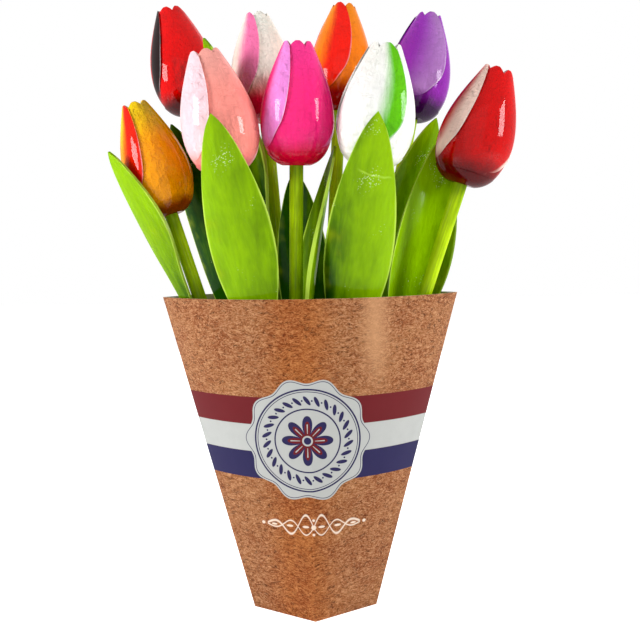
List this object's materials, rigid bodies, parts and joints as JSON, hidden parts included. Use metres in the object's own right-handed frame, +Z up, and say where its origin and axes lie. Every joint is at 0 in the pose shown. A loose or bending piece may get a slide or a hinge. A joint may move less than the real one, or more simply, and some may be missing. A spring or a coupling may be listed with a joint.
{
  "type": "wooden tulip bouquet",
  "caption": "Bouquet of painted wooden tulips standing in a tapered card sleeve; each tulip lifts out of the sleeve.",
  "frame": {"origin": "middle of the whole bouquet's box at its bottom, on the surface that it stands on", "axes": "+X to the right, +Y from the sleeve's front to its back, +Z up"},
  "size_m": [0.2344, 0.125, 0.3742],
  "materials": {
    "card": "printed",
    "stem_green": "painted gloss",
    "leaf_green": "painted gloss",
    "head_yellow": "yellow and red paint, gloss",
    "head_pink": "pale pink and salmon paint, gloss",
    "head_hot_pink": "hot pink and lavender paint, gloss",
    "head_white_green": "white and green paint, gloss",
    "head_red_cream": "red and cream paint, gloss",
    "head_red_black": "red and black-brown paint, gloss",
    "head_white_pink": "white and pink paint, gloss",
    "head_orange": "red-orange and orange paint, gloss",
    "head_purple": "purple and mauve paint, gloss"
  },
  "bodies": {
    "sleeve": {"sleeve": "card"},
    "tulip_yellow": {"head_yellow": "head_yellow", "stem_yellow": "stem_green", "leaf_yellow": "leaf_green"},
    "tulip_pink": {"head_pink": "head_pink", "stem_pink": "stem_green", "leaf_pink": "leaf_green"},
    "tulip_hot_pink": {"head_hot_pink": "head_hot_pink", "stem_hot_pink": "stem_green", "leaf_hot_pink": "leaf_green"},
    "tulip_white_green": {"head_white_green": "head_white_green", "stem_white_green": "stem_green", "leaf_white_green": "leaf_green"},
    "tulip_red_cream": {"head_red_cream": "head_red_cream", "stem_red_cream": "stem_green", "leaf_red_cream": "leaf_green"},
    "tulip_red_black": {"head_red_black": "head_red_black", "stem_red_black": "stem_green", "leaf_red_black": "leaf_green"},
    "tulip_white_pink": {"head_white_pink": "head_white_pink", "stem_white_pink": "stem_green", "leaf_white_pink": "leaf_green"},
    "tulip_orange": {"head_orange": "head_orange", "stem_orange": "stem_green", "leaf_orange": "leaf_green"},
    "tulip_purple": {"head_purple": "head_purple", "stem_purple": "stem_green", "leaf_purple": "leaf_green"}
  },
  "joints": [
    {"name": "lift_yellow", "type": "slide", "parent": "sleeve", "child": "tulip_yellow", "axis": [-0.3034, 0.0446, 0.9518], "range_m": [0, 0.205]},
    {"name": "lift_pink", "type": "slide", "parent": "sleeve", "child": "tulip_pink", "axis": [-0.1801, -0.0496, 0.9824], "range_m": [0, 0.205]},
    {"name": "lift_hot_pink", "type": "slide", "parent": "sleeve", "child": "tulip_hot_pink", "axis": [0.0239, -0.0644, 0.9976], "range_m": [0, 0.205]},
    {"name": "lift_white_green", "type": "slide", "parent": "sleeve", "child": "tulip_white_green", "axis": [0.1482, -0.0821, 0.9855], "range_m": [0, 0.205]},
    {"name": "lift_red_cream", "type": "slide", "parent": "sleeve", "child": "tulip_red_cream", "axis": [0.3142, -0.0358, 0.9487], "range_m": [0, 0.205]},
    {"name": "lift_red_black", "type": "slide", "parent": "sleeve", "child": "tulip_red_black", "axis": [-0.2176, 0.1536, 0.9639], "range_m": [0, 0.18]},
    {"name": "lift_white_pink", "type": "slide", "parent": "sleeve", "child": "tulip_white_pink", "axis": [-0.0785, 0.1539, 0.985], "range_m": [0, 0.18]},
    {"name": "lift_orange", "type": "slide", "parent": "sleeve", "child": "tulip_orange", "axis": [0.0621, 0.1541, 0.9861], "range_m": [0, 0.18]},
    {"name": "lift_purple", "type": "slide", "parent": "sleeve", "child": "tulip_purple", "axis": [0.2002, 0.1542, 0.9675], "range_m": [0, 0.18]}
  ]
}
